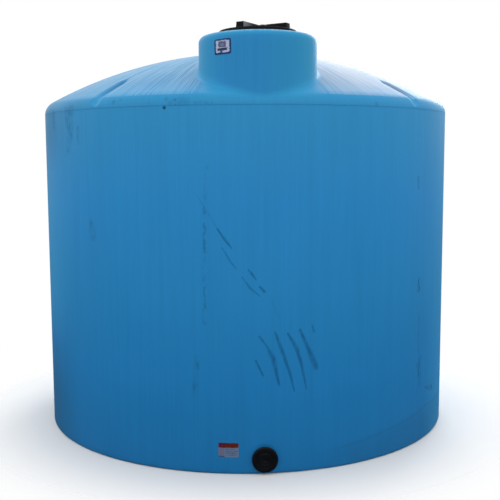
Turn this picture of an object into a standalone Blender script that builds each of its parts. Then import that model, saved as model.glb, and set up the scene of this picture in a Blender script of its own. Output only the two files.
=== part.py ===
"""A vertical water tank of moulded plastic: flat floor, round wall, domed top, fill neck and outlet.

Metres, +Z up. The origin is on the tank's axis at ground level, and the neck and outlet face -Y.
An azimuth is an angle around a vertical axis, 0 towards -Y and growing towards +X.
The moulding is split into floor, wall, dome and neck segments, a hairline apart.
"""
import math

import bmesh
import bpy
from mathutils import Vector

# Driving dimensions of the moulded shell
TANK_RADIUS = 1.2065
SEAM_HEIGHT = 1.822
CROWN_RISE = 0.3725
DOME_RADIUS = 2.393
SHOULDER_RADIUS = 0.0755
FOOT_RADIUS = 0.012
WALL = 0.009

# The neck stands near the front edge of the dome
NECK_OFFSET = 0.892
NECK_RADIUS = 0.3012
NECK_HEIGHT = 2.184
NECK_EDGE_RADIUS = 0.033
NECK_TOP_FALL = 0.006
FILL_HOLE_RADIUS = 0.192

# Four channels across the shoulder hold the tie-down cables
GROOVE_AZIMUTH = math.radians(43.4)
GROOVE_HEAD_RADIUS = 0.965
GROOVE_SLOPE = 1.18
GROOVE_MIN_HALF_WIDTH = 0.003

# Screw lid with a cross grip and a small vent
LID_RADIUS = 0.199
LID_THICKNESS = 0.0107
LID_RING_THICKNESS = 0.008
LID_GASKET_THICKNESS = 0.0017
SLEEVE_RADIUS = 0.184
SLEEVE_DEPTH = 0.045
SKIRT_RADIUS = 0.178
SKIRT_WALL = 0.010
SKIRT_DEPTH = 0.040
GRIP_REACH = 0.175
GRIP_WIDTH = 0.045
GRIP_HEIGHT = 0.029
GRIP_AZIMUTH = math.radians(-35.7)
VENT_OFFSET = 0.096
VENT_RADIUS = 0.020
VENT_HEIGHT = 0.020

# Outlet at the foot of the wall: flange outside, nut inside, plug in its bore
OUTLET_HEIGHT = 0.077
OUTLET_FLANGE_RADIUS = 0.0652
OUTLET_FLANGE_THICKNESS = 0.016
OUTLET_GASKET_RADIUS = 0.060
OUTLET_GASKET_THICKNESS = 0.003
OUTLET_BARREL_RADIUS = 0.037
OUTLET_BARREL_LENGTH = 0.044
OUTLET_BORE_RADIUS = 0.026
OUTLET_NUT_RADIUS = 0.058
OUTLET_NUT_THICKNESS = 0.018
PLUG_SEAT_RADIUS = 0.0455
PLUG_SEAT_DEPTH = 0.007
PLUG_HEAD_RADIUS = 0.045
PLUG_HEAD_THICKNESS = 0.005
PLUG_DEPTH = 0.025

# Facets, and the hairline between neighbouring pieces
GAP = 0.0003
FACETS_PER_SEGMENT = 7
CROWN_RADIUS = 0.35
DOME_ROW_RADII = (CROWN_RADIUS, 0.56, 0.77, GROOVE_HEAD_RADIUS, 1.04, 1.11)
SHOULDER_STEPS = 3
NECK_FACETS = 32
RING_FACETS = 32
OUTLET_FACETS = 24
VENT_FACETS = 12

SEGMENT_NAMES = (
    "front", "front_right", "right", "rear_right",
    "rear", "rear_left", "left", "front_left",
)
SEGMENT_SPAN = 2 * math.pi / len(SEGMENT_NAMES)
FACET_ANGLE = SEGMENT_SPAN / FACETS_PER_SEGMENT
QUARTER_NAMES = ("front", "right", "rear", "left")

# Heights that follow from the sizes above
DOME_CENTRE_HEIGHT = SEAM_HEIGHT + CROWN_RISE - DOME_RADIUS
SHOULDER_CENTRE_RADIUS = TANK_RADIUS - SHOULDER_RADIUS
SHOULDER_HEIGHT = DOME_CENTRE_HEIGHT + math.sqrt(
    (DOME_RADIUS - SHOULDER_RADIUS) ** 2 - SHOULDER_CENTRE_RADIUS ** 2)
SHOULDER_SLOPE = math.asin(SHOULDER_CENTRE_RADIUS / (DOME_RADIUS - SHOULDER_RADIUS))
RING_TOP = NECK_HEIGHT + GAP + LID_RING_THICKNESS
LID_BASE = RING_TOP + GAP + LID_GASKET_THICKNESS + GAP
FRONT_FACET = math.cos(FACET_ANGLE / 2)


def clear_scene():
    for item in list(bpy.data.objects):
        bpy.data.objects.remove(item, do_unlink=True)


def make_material(name, color, roughness):
    material = bpy.data.materials.new(name)
    material.use_nodes = True
    shader = material.node_tree.nodes["Principled BSDF"]
    shader.inputs["Base Color"].default_value = (*color, 1.0)
    shader.inputs["Roughness"].default_value = roughness
    shader.inputs["Metallic"].default_value = 0.0
    return material


def add_empty(name, place, parent=None):
    empty = bpy.data.objects.new(name, None)
    empty.location = place
    empty.parent = parent
    bpy.context.scene.collection.objects.link(empty)
    return empty


def add_object(name, shape, material, parent=None):
    """Turn a closed bmesh into a named object with its faces pointing out."""
    bmesh.ops.recalc_face_normals(shape, faces=shape.faces)
    mesh = bpy.data.meshes.new(name)
    shape.to_mesh(mesh)
    shape.free()
    mesh.shade_smooth()
    mesh.set_sharp_from_angle(angle=math.radians(35))
    mesh.materials.append(material)
    item = bpy.data.objects.new(name, mesh)
    item.parent = parent
    bpy.context.scene.collection.objects.link(item)
    return item


def hide_cutter(item):
    item.hide_render = True
    item.display_type = "WIRE"
    return item


def cut(item, cutter):
    modifier = item.modifiers.new("cut_" + cutter.name, "BOOLEAN")
    modifier.operation = "DIFFERENCE"
    modifier.solver = "EXACT"
    modifier.object = cutter


def around(radius, azimuth, height):
    return Vector((radius * math.sin(azimuth), -radius * math.cos(azimuth), height))


def closed_shell(outer, inner):
    """Join two grids of points, an outer and an inner skin, into one closed body."""
    shape = bmesh.new()
    skins = [[[shape.verts.new(point) for point in row] for row in skin] for skin in (outer, inner)]
    last_row = len(outer) - 1
    last_column = len(outer[0]) - 1
    for skin in skins:
        for i in range(last_row):
            for j in range(last_column):
                shape.faces.new((skin[i][j], skin[i][j + 1], skin[i + 1][j + 1], skin[i + 1][j]))
    first, second = skins
    for i in range(last_row):
        for j in (0, last_column):
            shape.faces.new((first[i][j], first[i + 1][j], second[i + 1][j], second[i][j]))
    for j in range(last_column):
        for i in (0, last_row):
            shape.faces.new((first[i][j], first[i][j + 1], second[i][j + 1], second[i][j]))
    return shape


def turned(profile, facets):
    """Spin a closed outline of (radius, height) points around the local Z axis."""
    shape = bmesh.new()
    points = [shape.verts.new((0.0, -radius, height)) for radius, height in profile]
    on_axis = profile[0][0] == 0.0
    pairs = list(zip(points, points[1:]))
    if not on_axis:
        pairs.append((points[-1], points[0]))
    edges = [shape.edges.new(pair) for pair in pairs]
    bmesh.ops.spin(
        shape, geom=points + edges, cent=(0, 0, 0), axis=(0, 0, 1),
        angle=2 * math.pi, steps=facets, use_merge=True, use_duplicate=False)
    bmesh.ops.remove_doubles(shape, verts=shape.verts, dist=0.00001)
    return shape


def disc(radius, facets, low, high):
    return turned([(0.0, high), (radius, high), (radius, low), (0.0, low)], facets)


def edge_shift(radius):
    """Angle that leaves half a hairline beside a segment's end at this radius."""
    return math.asin(GAP / 2 / radius)


def sector(profile, centre, span, facets, notch=None):
    """Skin of a segment: one row of points for each (radius, height) of the profile."""
    rows = []
    for index, (radius, height) in enumerate(profile):
        shift = edge_shift(radius)
        azimuths = [centre + span * (step / facets - 0.5) for step in range(facets + 1)]
        azimuths[0] += shift
        azimuths[-1] -= shift
        row = [around(radius, azimuth, height) for azimuth in azimuths]
        if notch:
            row = notch(index, radius, height, azimuths)
        rows.append(row)
    return rows


def offset_profile(profile, normals, depth):
    return [(r - depth * nr, z - depth * nz) for (r, z), (nr, nz) in zip(profile, normals)]


def dome_outline():
    """The dome's outer line from the crown to the seam, with its outward normals."""
    points = []
    normals = []
    for radius in DOME_ROW_RADII:
        slope = math.asin(radius / DOME_RADIUS)
        points.append((radius, DOME_CENTRE_HEIGHT + DOME_RADIUS * math.cos(slope)))
        normals.append((math.sin(slope), math.cos(slope)))
    for step in range(SHOULDER_STEPS + 1):
        slope = SHOULDER_SLOPE + (math.pi / 2 - SHOULDER_SLOPE) * step / SHOULDER_STEPS
        normal = (math.sin(slope), math.cos(slope))
        points.append((SHOULDER_CENTRE_RADIUS + SHOULDER_RADIUS * normal[0],
                       SHOULDER_HEIGHT + SHOULDER_RADIUS * normal[1]))
        normals.append(normal)
    points.append((TANK_RADIUS, SEAM_HEIGHT))
    normals.append((1.0, 0.0))
    return points, normals


def under_dome(radius):
    """Height of the dome's inner skin at a distance from the tank's axis."""
    inner_dome = DOME_RADIUS - WALL
    inner_shoulder = SHOULDER_RADIUS - WALL
    if radius < inner_dome * math.sin(SHOULDER_SLOPE):
        return DOME_CENTRE_HEIGHT + math.sqrt(inner_dome ** 2 - radius ** 2)
    reach = radius - SHOULDER_CENTRE_RADIUS
    return SHOULDER_HEIGHT + math.sqrt(inner_shoulder ** 2 - reach ** 2)


def groove_floor(radius):
    """Height of a groove's straight floor line, from its head down to the shoulder's foot."""
    head = DOME_CENTRE_HEIGHT + math.sqrt(DOME_RADIUS ** 2 - GROOVE_HEAD_RADIUS ** 2)
    way_out = (radius - GROOVE_HEAD_RADIUS) / (TANK_RADIUS - GROOVE_HEAD_RADIUS)
    return head + (SHOULDER_HEIGHT - head) * way_out


def grooved_rows(outline, normals, groove, depth_in):
    """Shape a dome segment's rows: a V channel along one azimuth takes the columns beside it."""
    last = len(outline) - 1

    def notch(index, radius, height, azimuths):
        row = [around(radius, azimuth, height) for azimuth in azimuths]
        beside = max(j for j, azimuth in enumerate(azimuths) if azimuth < groove)
        full_radius, full_height = outline[index]
        if full_radius < GROOVE_HEAD_RADIUS or index == last:
            row.insert(beside + 1, (row[beside] + row[beside + 1]) / 2)
            return row
        drop = max(0.0, full_height - groove_floor(full_radius))
        half_angle = max(GROOVE_MIN_HALF_WIDTH, GROOVE_SLOPE * drop) / full_radius
        inwards = around(normals[index][0], groove, normals[index][1]) * depth_in
        row[beside] = around(radius, groove - half_angle, height)
        row[beside + 1] = around(radius, groove + half_angle, height)
        row.insert(beside + 1, around(full_radius, groove, full_height - drop) - inwards)
        return row

    return notch


def segment_centre(index):
    """Azimuth of a segment's middle, between -180 and 180 degrees."""
    centre = index * SEGMENT_SPAN
    return centre - 2 * math.pi if centre > math.pi else centre


def make_floor(material):
    facets = len(SEGMENT_NAMES) * FACETS_PER_SEGMENT
    radius = TANK_RADIUS - FOOT_RADIUS - GAP
    floor = add_object("tank_floor", disc(radius, facets, 0.0, WALL), material)
    floor.rotation_euler.z = FACET_ANGLE / 2
    return floor


def make_wall(material):
    foot = TANK_RADIUS - FOOT_RADIUS
    middle = math.cos(math.pi / 4)
    outer = [
        (foot, 0.0),
        (foot + FOOT_RADIUS * middle, FOOT_RADIUS * (1 - middle)),
        (TANK_RADIUS, FOOT_RADIUS),
        (TANK_RADIUS, SEAM_HEIGHT - GAP),
    ]
    normals = [(0.0, -1.0), (middle, -middle), (1.0, 0.0), (1.0, 0.0)]
    inner = offset_profile(outer, normals, WALL)
    segments = {}
    for index, place in enumerate(SEGMENT_NAMES):
        skins = [sector(line, segment_centre(index), SEGMENT_SPAN, FACETS_PER_SEGMENT)
                 for line in (outer, inner)]
        segments[place] = add_object("wall_" + place, closed_shell(*skins), material)
    return segments


def make_dome(material):
    outline, normals = dome_outline()
    inset = offset_profile(outline, normals, WALL)
    grooves = (GROOVE_AZIMUTH, math.pi - GROOVE_AZIMUTH)
    segments = {}
    for index, place in enumerate(SEGMENT_NAMES):
        centre = segment_centre(index)
        here = [side * a for a in grooves for side in (-1, 1)
                if abs(side * a - centre) < SEGMENT_SPAN / 2]
        skins = []
        for line, depth in ((outline, 0.0), (inset, WALL)):
            notch = grooved_rows(outline, normals, here[0], depth) if here else None
            skins.append(sector(line, centre, SEGMENT_SPAN, FACETS_PER_SEGMENT, notch))
        segments[place] = add_object("dome_" + place, closed_shell(*skins), material)
    return segments


def make_crown(material):
    """The middle of the dome, a shallow cap inside the ring of dome segments."""
    edge = CROWN_RADIUS - GAP
    lines = []
    for radius in (DOME_RADIUS, DOME_RADIUS - WALL):
        slopes = [math.asin(edge / DOME_RADIUS) * step / 2 for step in range(3)]
        lines.append([(radius * math.sin(s), DOME_CENTRE_HEIGHT + radius * math.cos(s)) for s in slopes])
    facets = len(SEGMENT_NAMES) * FACETS_PER_SEGMENT
    crown = add_object("dome_crown", turned(lines[0] + lines[1][::-1], facets), material)
    crown.rotation_euler.z = FACET_ANGLE / 2
    return crown


def make_neck_wall(material, neck):
    """Four curved plates that run down into the dome's opening and end at its inner skin."""
    top = NECK_HEIGHT - NECK_TOP_FALL - NECK_EDGE_RADIUS - GAP
    facets = NECK_FACETS // len(QUARTER_NAMES)
    span = 2 * math.pi / len(QUARTER_NAMES)
    for index, place in enumerate(QUARTER_NAMES):
        skins = []
        for radius in (NECK_RADIUS, NECK_RADIUS - WALL):
            rows = sector([(radius, top), (radius, top)], index * span, span, facets)
            for point in rows[1]:
                point.z = under_dome(math.hypot(point.x, point.y - NECK_OFFSET))
            skins.append(rows)
        add_object("neck_wall_" + place, closed_shell(*skins), material, neck)


def make_neck_top(material, neck):
    """Four quarters of the neck's rounded edge and shallow top, around the fill hole."""
    edge_centre = (NECK_RADIUS - NECK_EDGE_RADIUS, NECK_HEIGHT - NECK_TOP_FALL - NECK_EDGE_RADIUS)
    steps = 3
    normals = []
    outer = []
    for step in range(steps + 1):
        slope = math.pi / 2 * step / steps
        normals.append((math.cos(slope), math.sin(slope)))
        outer.append((edge_centre[0] + NECK_EDGE_RADIUS * math.cos(slope),
                      edge_centre[1] + NECK_EDGE_RADIUS * math.sin(slope)))
    outer.append((FILL_HOLE_RADIUS, NECK_HEIGHT))
    normals.append((0.0, 1.0))
    inner = offset_profile(outer, normals, WALL)
    facets = NECK_FACETS // len(QUARTER_NAMES)
    span = 2 * math.pi / len(QUARTER_NAMES)
    for index, place in enumerate(QUARTER_NAMES):
        skins = [sector(line, index * span, span, facets) for line in (outer, inner)]
        add_object("neck_top_" + place, closed_shell(*skins), material, neck)


def open_dome_for_neck(dome_front):
    """Cut the round opening that the neck stands in."""
    radius = NECK_RADIUS + GAP / math.cos(math.pi / NECK_FACETS)
    shape = disc(radius, NECK_FACETS, SEAM_HEIGHT - 0.1, NECK_HEIGHT)
    cutter = hide_cutter(add_object("neck_opening_cutter", shape, dome_front.data.materials[0]))
    cutter.location = (0.0, -NECK_OFFSET, 0.0)
    cut(dome_front, cutter)


def make_lid_ring(plastic, rubber, neck):
    """The threaded ring in the fill hole, and the flat gasket on it."""
    sleeve_outside = FILL_HOLE_RADIUS - 0.0005
    flange = [
        (LID_RADIUS + 0.0015, NECK_HEIGHT + GAP), (LID_RADIUS + 0.0015, RING_TOP),
        (SLEEVE_RADIUS, RING_TOP), (SLEEVE_RADIUS, NECK_HEIGHT - SLEEVE_DEPTH),
        (sleeve_outside, NECK_HEIGHT - SLEEVE_DEPTH), (sleeve_outside, NECK_HEIGHT + GAP),
    ]
    add_object("lid_ring", turned(flange, RING_FACETS), plastic, neck)
    low = RING_TOP + GAP
    high = low + LID_GASKET_THICKNESS
    inside = SLEEVE_RADIUS + 0.002
    outside = LID_RADIUS - 0.001
    gasket = [(outside, low), (outside, high), (inside, high), (inside, low)]
    add_object("lid_gasket", turned(gasket, RING_FACETS), rubber, neck)


def make_lid(plastic, lid_axis):
    """Lid disc with the skirt that screws into the ring. Heights are above the lid's base."""
    chamfer = 0.003
    inside = SKIRT_RADIUS - SKIRT_WALL
    outline = [
        (0.0, LID_THICKNESS), (LID_RADIUS - chamfer, LID_THICKNESS),
        (LID_RADIUS, LID_THICKNESS - chamfer), (LID_RADIUS, 0.0),
        (SKIRT_RADIUS, 0.0), (SKIRT_RADIUS, -SKIRT_DEPTH),
        (inside, -SKIRT_DEPTH), (inside, 0.0), (0.0, 0.0),
    ]
    add_object("lid", turned(outline, RING_FACETS), plastic, lid_axis)


def make_lid_grip(plastic, lid_axis):
    """Cross of four level bars on the lid, turned to its place around the lid's axis."""
    half = GRIP_WIDTH / 2
    corner_of_arm = ((half, half), (GRIP_REACH, half), (GRIP_REACH, -half))
    shape = bmesh.new()
    outline = []
    for arm in range(4):
        turn = -arm * math.pi / 2
        for x, y in corner_of_arm:
            outline.append(shape.verts.new((
                x * math.cos(turn) - y * math.sin(turn),
                x * math.sin(turn) + y * math.cos(turn), 0.0)))
    face = shape.faces.new(outline)
    raised = bmesh.ops.extrude_face_region(shape, geom=[face])["geom"]
    tops = [part for part in raised if isinstance(part, bmesh.types.BMVert)]
    bmesh.ops.translate(shape, verts=tops, vec=(0, 0, GRIP_HEIGHT))
    grip = add_object("lid_grip", shape, plastic, lid_axis)
    grip.location.z = LID_THICKNESS + GAP
    grip.rotation_euler.z = GRIP_AZIMUTH - math.pi / 2
    bevel = grip.modifiers.new("edges", "BEVEL")
    bevel.width = 0.003
    bevel.segments = 1


def make_lid_vent(plastic, lid_axis):
    """Small round vent between two of the grip's arms."""
    outline = [
        (0.0, VENT_HEIGHT), (VENT_RADIUS * 0.7, VENT_HEIGHT), (VENT_RADIUS, VENT_HEIGHT * 0.75),
        (VENT_RADIUS, 0.0), (0.0, 0.0),
    ]
    vent = add_object("lid_vent", turned(outline, VENT_FACETS), plastic, lid_axis)
    vent.location = around(VENT_OFFSET, GRIP_AZIMUTH + math.pi / 4, LID_THICKNESS + GAP)


def make_outlet(plastic, rubber, outlet):
    """Outlet fitting. Its local Z runs outwards, with 0 on the wall's outer facet.

    The plug's head sits a little below the flange's flat face, in a round seat.
    """
    bore = OUTLET_BORE_RADIUS
    barrel = OUTLET_BARREL_RADIUS
    seat = GAP + OUTLET_GASKET_THICKNESS + GAP
    face = seat + OUTLET_FLANGE_THICKNESS
    gasket = [(OUTLET_GASKET_RADIUS, GAP), (OUTLET_GASKET_RADIUS, GAP + OUTLET_GASKET_THICKNESS),
              (barrel + GAP, GAP + OUTLET_GASKET_THICKNESS), (barrel + GAP, GAP)]
    add_object("outlet_gasket", turned(gasket, OUTLET_FACETS), rubber, outlet)

    chamfer = 0.003
    plug_seat = face - PLUG_SEAT_DEPTH
    body = [(OUTLET_FLANGE_RADIUS, seat), (OUTLET_FLANGE_RADIUS, face - chamfer),
            (OUTLET_FLANGE_RADIUS - chamfer, face), (PLUG_SEAT_RADIUS, face),
            (PLUG_SEAT_RADIUS, plug_seat), (bore, plug_seat), (bore, face - OUTLET_BARREL_LENGTH),
            (barrel, face - OUTLET_BARREL_LENGTH), (barrel, seat)]
    add_object("outlet_body", turned(body, OUTLET_FACETS), plastic, outlet)

    inside_wall = -WALL * FRONT_FACET - GAP
    nut_shape = disc(OUTLET_NUT_RADIUS, 6, inside_wall - OUTLET_NUT_THICKNESS, inside_wall)
    nut = add_object("outlet_nut", nut_shape, plastic, outlet)
    bore_shape = disc(barrel + GAP, OUTLET_FACETS, inside_wall - 0.05, 0.02)
    cutter = hide_cutter(add_object("outlet_bore_cutter", bore_shape, plastic, outlet))
    cut(nut, cutter)

    head_base = plug_seat + GAP
    head_top = head_base + PLUG_HEAD_THICKNESS
    shank = bore - GAP
    plug = [(0.0, head_top), (PLUG_HEAD_RADIUS, head_top), (PLUG_HEAD_RADIUS, head_base),
            (shank, head_base), (shank, head_base - PLUG_DEPTH), (0.0, head_base - PLUG_DEPTH)]
    add_object("outlet_plug", turned(plug, OUTLET_FACETS), plastic, outlet)
    return cutter


def build_tank():
    clear_scene()
    shell = make_material("blue_polyethylene", (0.028, 0.215, 0.470), 0.45)
    black = make_material("black_plastic", (0.012, 0.013, 0.017), 0.50)
    rubber = make_material("black_rubber", (0.016, 0.016, 0.018), 0.75)

    neck = add_empty("neck_axis", (0.0, -NECK_OFFSET, 0.0))
    lid_axis = add_empty("lid_axis", (0.0, -NECK_OFFSET, LID_BASE))
    outlet = add_empty("outlet_axis", (0.0, -TANK_RADIUS * FRONT_FACET, OUTLET_HEIGHT))
    outlet.rotation_euler.x = math.pi / 2

    make_floor(shell)
    wall = make_wall(shell)
    dome = make_dome(shell)
    make_crown(shell)
    open_dome_for_neck(dome["front"])
    make_neck_wall(shell, neck)
    make_neck_top(shell, neck)

    make_lid_ring(black, rubber, neck)
    make_lid(black, lid_axis)
    make_lid_grip(black, lid_axis)
    make_lid_vent(black, lid_axis)

    outlet_cutter = make_outlet(black, rubber, outlet)
    cut(wall["front"], outlet_cutter)


build_tank()
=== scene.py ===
"""Dressed model of the moulded water tank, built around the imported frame.

Metres, +Z up, in the frame's own axes: the neck and the outlet face -Y. An azimuth is an angle
around a vertical axis, 0 towards -Y and growing towards +X.
"""
import math

import bmesh
import bpy
from mathutils import Matrix, Vector, geometry


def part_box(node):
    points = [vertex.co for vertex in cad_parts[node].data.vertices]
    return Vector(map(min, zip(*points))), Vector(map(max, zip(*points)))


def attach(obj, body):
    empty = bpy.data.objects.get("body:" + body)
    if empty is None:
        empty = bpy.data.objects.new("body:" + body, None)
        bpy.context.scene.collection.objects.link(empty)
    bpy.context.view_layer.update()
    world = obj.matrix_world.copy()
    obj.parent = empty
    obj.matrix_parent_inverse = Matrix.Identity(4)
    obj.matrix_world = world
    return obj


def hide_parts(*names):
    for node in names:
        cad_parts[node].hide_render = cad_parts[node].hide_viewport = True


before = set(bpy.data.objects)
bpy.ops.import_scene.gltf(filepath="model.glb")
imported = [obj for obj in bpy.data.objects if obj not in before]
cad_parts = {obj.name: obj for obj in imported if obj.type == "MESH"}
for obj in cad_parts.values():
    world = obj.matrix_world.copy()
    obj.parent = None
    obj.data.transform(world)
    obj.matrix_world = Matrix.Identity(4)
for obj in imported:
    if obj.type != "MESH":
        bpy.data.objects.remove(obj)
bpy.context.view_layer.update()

TANK = "tank"
LID = "screw_lid"
BLUE = "blue_polyethylene"
BLACK = "black_plastic"
RUBBER = "black_rubber"
FILM = "label_film"

SEGMENTS = ("front", "front_right", "right", "rear_right", "rear", "rear_left", "left", "front_left")
QUARTERS = ("front", "right", "rear", "left")


def reach(node, centre):
    """Greatest distance of a solid's points from a vertical axis."""
    return max((point.co.xy - centre.xy).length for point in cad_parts[node].data.vertices)


def middle(node):
    low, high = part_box(node)
    return (low + high) / 2


def heights(node):
    low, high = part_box(node)
    return low.z, high.z


def distances_out(node):
    """Where a solid begins and ends on the way out from the tank's axis to the front."""
    low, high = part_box(node)
    return -high.y, -low.y


# Sizes that the solids give
TANK_AXIS = Vector((0.0, 0.0, 0.0))
NECK_AXIS = Vector((0.0, middle("lid").y, 0.0))
TANK_RADIUS = reach("wall_front", TANK_AXIS)
NECK_RADIUS = reach("neck_wall_front", NECK_AXIS)
RING_RADIUS = reach("lid_ring", NECK_AXIS)
LID_RADIUS = reach("lid", NECK_AXIS)
SEAM_HEIGHT = heights("dome_front")[0]
CROWN_HEIGHT = heights("dome_crown")[1]
NECK_HEIGHT = heights("neck_top_front")[1]
GASKET_TOP = heights("lid_gasket")[1]
RING_LOW, RING_TOP = heights("lid_ring")
SKIRT_LOW, LID_TOP = heights("lid")
GRIP_BASE, GRIP_TOP = heights("lid_grip")
VENT_TOP = heights("lid_vent")[1]
VENT_CENTRE = middle("lid_vent")
VENT_RADIUS = reach("lid_vent", VENT_CENTRE)
OUTLET_CENTRE = middle("outlet_body")
OUTLET_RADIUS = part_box("outlet_body")[1].x
OUTLET_BACK, OUTLET_FACE = distances_out("outlet_body")
PAD_FACE, GASKET_FACE = distances_out("outlet_gasket")
PLUG_BACK, PLUG_FACE = distances_out("outlet_plug")
NUT_BACK, NUT_FACE = distances_out("outlet_nut")

# Sizes shared with the solids' own shapes
GAP = 0.0003
WALL = 0.009
DOME_RADIUS = 2.393
SHOULDER_RADIUS = 0.0755
FOOT_RADIUS = 0.012
NECK_EDGE_RADIUS = 0.033
NECK_TOP_FALL = 0.006
FILL_HOLE_RADIUS = 0.192
GROOVE_AZIMUTH = math.radians(43.4)
GROOVE_HEAD_RADIUS = 0.965
SLEEVE_RADIUS = 0.184
SKIRT_RADIUS = 0.178
GRIP_REACH = 0.175
GRIP_WIDTH = 0.045
GRIP_AZIMUTH = math.radians(-35.7)
OUTLET_BORE_RADIUS = 0.026
OUTLET_BARREL_RADIUS = 0.037
PLUG_SEAT_RADIUS = 0.0455
PLUG_SEAT_DEPTH = 0.007
PLUG_HEAD_RADIUS = 0.045
NUT_RADIUS = 0.058

# Sizes of this script's own finer forms
WALL_COLUMNS = 360
NECK_COLUMNS = 144
LID_COLUMNS = 180
RING_COLUMNS = 144
OUTLET_COLUMNS = 96
ROUNDING_STEPS = 4
SHARP_ANGLE = math.radians(35)
FRONT_BLEND_RADIUS = 0.045
REAR_BLEND_RADIUS = 0.015
BLEND_STEPS = 9
GROOVE_DEPTH = 0.016
GROOVE_HALF_WIDTH = 0.034
GROOVE_ROUNDING = 0.006
GROOVE_LIP = 0.003
GROOVE_RUN_IN = 0.06
SEAM_CHAMFER = 0.0004
PAD_RADIUS = 0.073

# The dome's outline: a shallow sphere that a rounded shoulder joins to the wall. A way is the
# distance from the crown, over the surface.
DOME_CENTRE_HEIGHT = CROWN_HEIGHT - DOME_RADIUS
SHOULDER_CENTRE_RADIUS = TANK_RADIUS - SHOULDER_RADIUS
SHOULDER_SLOPE = math.asin(SHOULDER_CENTRE_RADIUS / (DOME_RADIUS - SHOULDER_RADIUS))
SHOULDER_HEIGHT = DOME_CENTRE_HEIGHT + (DOME_RADIUS - SHOULDER_RADIUS) * math.cos(SHOULDER_SLOPE)
SPHERE_WAY = DOME_RADIUS * SHOULDER_SLOPE
SHOULDER_WAY = SPHERE_WAY + SHOULDER_RADIUS * (math.pi / 2 - SHOULDER_SLOPE)
SEAM_WAY = SHOULDER_WAY + SHOULDER_HEIGHT - SEAM_HEIGHT


class Reading:
    """What a node gives. The signs + - * / between readings add math nodes."""

    def __init__(self, wires, socket):
        self.wires = wires
        self.socket = socket

    def __add__(self, other):
        return self.wires.math("ADD", self, other)

    def __sub__(self, other):
        return self.wires.math("SUBTRACT", self, other)

    def __rsub__(self, other):
        return self.wires.math("SUBTRACT", other, self)

    def __mul__(self, other):
        return self.wires.math("MULTIPLY", self, other)

    def __truediv__(self, other):
        return self.wires.math("DIVIDE", self, other)

    def __rtruediv__(self, other):
        return self.wires.math("DIVIDE", other, self)

    def __abs__(self):
        return self.wires.math("ABSOLUTE", self)

    def greater(self, other):
        return self.wires.math("MAXIMUM", self, other)

    def ranged(self, low, high, first=0.0, last=1.0, soft=False):
        """The reading taken from one range to another, and held at both ends."""
        return self.wires.node("ShaderNodeMapRange", {0: self, 1: low, 2: high, 3: first, 4: last},
                               interpolation_type="SMOOTHSTEP" if soft else "LINEAR")

    def fading(self, low, high, first=1.0, soft=False):
        return self.ranged(low, high, first, 0.0, soft)


class Wiring:
    """Adds nodes to a tree, each fed with plain values or with readings of other nodes."""

    def __init__(self, tree):
        self.tree = tree

    def join(self, value, socket):
        if isinstance(value, Reading):
            self.tree.links.new(value.socket, socket)
        else:
            socket.default_value = value

    def node(self, kind, feeds=None, output=0, **settings):
        node = self.tree.nodes.new(kind)
        for name, value in settings.items():
            setattr(node, name, value)
        for name, value in (feeds or {}).items():
            self.join(value, node.inputs[name])
        return Reading(self, node.outputs[output])

    def math(self, operation, *values, clamp=False):
        return self.node("ShaderNodeMath", dict(enumerate(values)), operation=operation, use_clamp=clamp)

    def vector(self, operation, *vectors, output=0):
        return self.node("ShaderNodeVectorMath", dict(enumerate(vectors)), output, operation=operation)

    def measure(self, operation, *vectors):
        """A number worked out from vectors."""
        return self.vector(operation, *vectors, output=1)

    def scaled(self, vector, factor):
        return self.node("ShaderNodeVectorMath", {0: vector, 3: factor}, operation="SCALE")

    def packed(self, x, y, z=0.0):
        return self.node("ShaderNodeCombineXYZ", {0: x, 1: y, 2: z})

    def split(self, vector):
        """A vector's three numbers."""
        node = self.tree.nodes.new("ShaderNodeSeparateXYZ")
        self.join(vector, node.inputs[0])
        return [Reading(self, socket) for socket in node.outputs]


class Recipe(Wiring):
    """A Geometry Nodes tree with named sizes. It is run once on a piece and leaves a plain mesh."""

    def __init__(self, name):
        super().__init__(bpy.data.node_groups.new(name, "GeometryNodeTree"))
        for way in ("INPUT", "OUTPUT"):
            self.tree.interface.new_socket("Geometry", in_out=way, socket_type="NodeSocketGeometry")
        self.start = self.tree.nodes.new("NodeGroupInput")
        self.sizes = {}

    def size(self, name, value, kind="NodeSocketFloat"):
        socket = self.tree.interface.new_socket(name, in_out="INPUT", socket_type=kind)
        self.sizes[socket.identifier] = value
        return Reading(self, self.start.outputs[name])

    def count(self, name, value):
        return self.size(name, value, "NodeSocketInt")

    def given(self):
        return Reading(self, self.start.outputs[0])

    def shape(self, kind, **feeds):
        named = {name.replace("_", " "): value for name, value in feeds.items()}
        return self.node("GeometryNode" + kind, named)

    def moved(self, shape, place, turn=(0, 0, 0)):
        return self.shape("Transform", Geometry=shape, Translation=place, Rotation=turn)

    def together(self, *shapes):
        node = self.tree.nodes.new("GeometryNodeJoinGeometry")
        for shape in shapes:
            self.join(shape, node.inputs[0])
        return Reading(self, node.outputs[0])

    def cut(self, shape, *cutters):
        node = self.tree.nodes.new("GeometryNodeMeshBoolean")
        node.operation = "DIFFERENCE"
        for cutter in cutters:
            self.join(cutter, node.inputs["Mesh 2"])
        self.join(shape, node.inputs["Mesh 1"])
        return Reading(self, node.outputs[0])

    def ring_of(self, shape, number, radius, place):
        """Copies of a shape around a circle, each turned to face outwards."""
        circle = self.shape("MeshCircle", Vertices=number, Radius=radius)
        turn = self.packed(0.0, 0.0, self.shape("InputIndex") * (2 * math.pi / number))
        return self.moved(self.shape("InstanceOnPoints", Points=circle, Instance=shape, Rotation=turn), place)

    def run(self, piece, shape, material):
        real = self.shape("RealizeInstances", Geometry=shape)
        painted = self.shape("SetMaterial", Geometry=real, Material=material)
        self.join(painted, self.tree.nodes.new("NodeGroupOutput").inputs[0])
        modifier = piece.modifiers.new(self.tree.name, "NODES")
        modifier.node_group = self.tree
        for identifier, value in self.sizes.items():
            modifier[identifier] = value
        settle(piece)


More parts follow.
